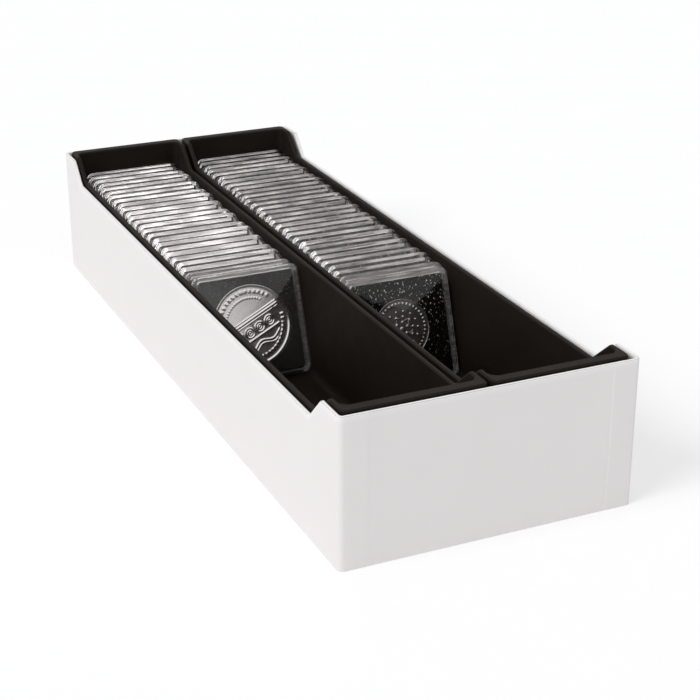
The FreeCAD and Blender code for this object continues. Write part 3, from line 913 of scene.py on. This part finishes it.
def right_relief(x, y):
    """Raised share of the right coin's face: a flower of small petals in rings of dots."""
    u, v = turned(x, y, RIGHT_TURN)
    r = np.hypot(x, y)
    edge = COIN_RADIUS["right"]
    parts = [soft_step(edge - RIGHT_RIM - r, RIM_SLOPE) * RIGHT_RIM_HEIGHT]
    parts.append(arc_dashes(u, v, edge, *RIGHT_DASHES))
    for ring_radius, count, size in DOT_RINGS:
        for k in range(count):
            angle = 2 * math.pi * (k + 0.5) / count
            cx, cy = ring_radius * math.cos(angle), ring_radius * math.sin(angle)
            parts.append(disc(u, v, cx, cy, size))
    petals = np.abs(r - PETAL_RADIUS - PETAL_SWING * np.cos(PETALS * np.arctan2(v, u)))
    parts.append(soft_step(petals - PETAL_HALF_WIDTH, PETAL_SLOPE) * PETAL_HEIGHT)
    parts.append(disc(u, v, 0, 0, CENTRE_DOT))
    return np.maximum.reduce(parts)


def coin_piece(side):
    """A coin's faces and reeded edge in the capsule's frame, with how raised and how matt each point is."""
    radius = COIN_RADIUS[side]
    middle = -CAPSULE_THICKNESS / 2
    angles = np.linspace(0, 2 * math.pi, COIN_SPOKES, endpoint=False)
    unmatt = np.zeros(COIN_SPOKES)
    rings, raised, matt = [], [], []

    def face_ring(ring_radius, way):
        x, z = ring_radius * np.cos(angles), ring_radius * np.sin(angles)
        seen_x = x * -way
        share = left_relief(seen_x, z) if side == "left" else right_relief(seen_x, z)
        y = way * (COIN_THICKNESS / 2 - RELIEF_HEIGHT * (1 - share)) + middle
        rings.append(np.column_stack([x, y, z + CAPSULE / 2]))
        raised.append(share)
        matt.append(left_matt(seen_x, z) if side == "left" else unmatt)

    def edge_ring(level):
        reeds = radius - REED_DEPTH * (np.arange(COIN_SPOKES) % 2)
        y = np.full(COIN_SPOKES, level + middle)
        rings.append(np.column_stack([reeds * np.cos(angles), y, reeds * np.sin(angles) + CAPSULE / 2]))
        raised.append(np.full(COIN_SPOKES, EDGE_RAISED))
        matt.append(unmatt)

    radii = np.linspace(radius / COIN_RINGS, radius - COIN_CHAMFER, COIN_RINGS)
    for ring_radius in radii:
        face_ring(ring_radius, -1)
    edge_ring(-COIN_THICKNESS / 2 + COIN_CHAMFER)
    edge_ring(COIN_THICKNESS / 2 - COIN_CHAMFER)
    for ring_radius in radii[::-1]:
        face_ring(ring_radius, 1)
    return lofted(rings), {"relief": np.concatenate(raised), "matt": np.concatenate(matt)}


def build_coin(side, body, place):
    piece, shares = coin_piece(side)
    material = MATERIALS["silver" if side == "left" else "dark_silver"]
    coin = new_piece(body + "_coin", moved(piece, place), material, body, COIN_SHARP_ANGLE)
    add_shares(coin, shares)


def build_capsule(side, number):
    """A capsule in its own pieces: two halves, the insert with its hole, and the coin."""
    stem = "%s_capsule_%d" % (side, number)
    place = capsule_places(stem + "_rear_half")[0]
    cover = stem + "_cover" if stem == OPENING_CAPSULE else stem
    for kind, front, body in (("_front_half", True, cover), ("_rear_half", False, stem)):
        piece, kinds = half_piece(front)
        add_halves(stem + kind, side, body, moved(piece, place), kinds)
    insert = moved(insert_piece(COIN_RADIUS[side] + COIN_GAP), place)
    new_piece(stem + "_insert", insert, MATERIALS["foam_" + side], stem)
    build_coin(side, stem, place)


def build_row(side):
    """The capsules behind the second one, one piece for all front halves, rear halves and inserts."""
    stem = side + "_row_"
    tray = side + "_tray"
    places = capsule_places(stem + "rear_halves")
    shadows = np.random.default_rng(SHADOW_SEED).uniform(*SHADOW_SHARE[side], len(places))
    shadows = shadows * np.linspace(1.0, FAR_SHADOW, len(places))
    for kind, front in (("front_halves", True), ("rear_halves", False)):
        pieces, kinds = [], []
        for place, shadow in zip(places, shadows):
            lean = place[1][2] / place[2][2]
            strip = (CAPSULE_THICKNESS + ROW_GAP) * lean
            piece, piece_kinds = half_piece(front, strip * (1 - shadow))
            pieces.append(moved(piece, place))
            kinds.extend(piece_kinds)
        add_halves(stem + kind, side, tray, joined(pieces), kinds)
    inserts = joined([moved(insert_piece(), place) for place in places])
    new_piece(stem + "inserts", inserts, MATERIALS["foam_" + side], tray)


# Stage
def floor_material():
    """Matt white ground. A small lift that only the camera sees brings it to paper white."""
    shader = Shader("white_ground")
    grain = shader.noise(shader.place(), 0.02, detail=2.0, roughness=0.5)
    diffuse = shader.add("ShaderNodeBsdfDiffuse")
    shader.feed(diffuse.inputs["Color"], shader.colours(grain, *GROUND_TONES))
    lift = shader.add("ShaderNodeEmission")
    shader.feed(lift.inputs["Strength"], shader.math("MULTIPLY", shader.paths("Is Camera Ray"), FLOOR_LIFT))
    return shader.finish(shader.added(diffuse.outputs[0], lift.outputs[0]))


def build_floor():
    reach = FLOOR_REACH * MM
    mesh = bpy.data.meshes.new("ground")
    points = [(-reach, -reach, 0.0), (reach, -reach, 0.0), (reach, reach, 0.0), (-reach, reach, 0.0)]
    mesh.from_pydata(points, [], [(0, 1, 2, 3)])
    mesh.materials.append(floor_material())
    ground = bpy.data.objects.new("ground", mesh)
    bpy.context.scene.collection.objects.link(ground)


def build_world():
    """White all round for the camera. Reflections see a darker room low in front. Diffuse light is even."""
    world = bpy.data.worlds.new("studio")
    bpy.context.scene.world = world
    nodes = Nodes(world, "ShaderNodeOutputWorld")
    direction = nodes.add("ShaderNodeTexCoord").outputs["Generated"]
    in_front = nodes.ramp(nodes.axis(direction, "Y"), DARK_FRONT_SIDES, (1.0, 0.0))
    missing = nodes.ramp(nodes.axis(direction, "Z"), DARK_FRONT_TOP, (1.0 - DARK_FRONT, 0.0))
    mirrored = nodes.math("SUBTRACT", 1.0, nodes.math("MULTIPLY", in_front, missing))
    mirrors = nodes.math("MAXIMUM", nodes.paths("Is Glossy Ray"), nodes.paths("Is Transmission Ray"))
    unseen = nodes.blend(mirrors, AMBIENT, mirrored)
    background = nodes.add("ShaderNodeBackground")
    nodes.feed(background.inputs["Strength"], nodes.blend(nodes.paths("Is Camera Ray"), unseen, 1.0))
    nodes.feed(nodes.output.inputs["Surface"], background.outputs[0])


def build_key():
    """A broad soft light from the left."""
    lamp = bpy.data.lights.new("key", "SUN")
    lamp.energy = KEY_STRENGTH
    lamp.angle = math.radians(KEY_SPREAD)
    key = bpy.data.objects.new("key", lamp)
    key.rotation_euler = Vector(KEY_TOWARDS).to_track_quat("Z", "Y").to_euler()
    bpy.context.scene.collection.objects.link(key)


def build_camera():
    camera_data = bpy.data.cameras.new("camera")
    camera_data.lens = CAMERA_LENS
    camera_data.sensor_width = CAMERA_SENSOR
    camera_data.clip_end = CAMERA_FAR
    camera = bpy.data.objects.new("camera", camera_data)
    camera.location = Vector(CAMERA_PLACE) * MM
    camera.rotation_euler = (math.radians(CAMERA_TILT), 0.0, math.radians(CAMERA_TURN))
    bpy.context.scene.collection.objects.link(camera)
    bpy.context.scene.camera = camera


dress_board()
build_wrap()
for side_name in ("left", "right"):
    build_tray(side_name)
    build_row(side_name)
    for capsule_number in (1, 2):
        build_capsule(side_name, capsule_number)

bpy.context.scene.view_settings.view_transform = "Standard"
build_floor()
build_world()
build_key()
build_camera()
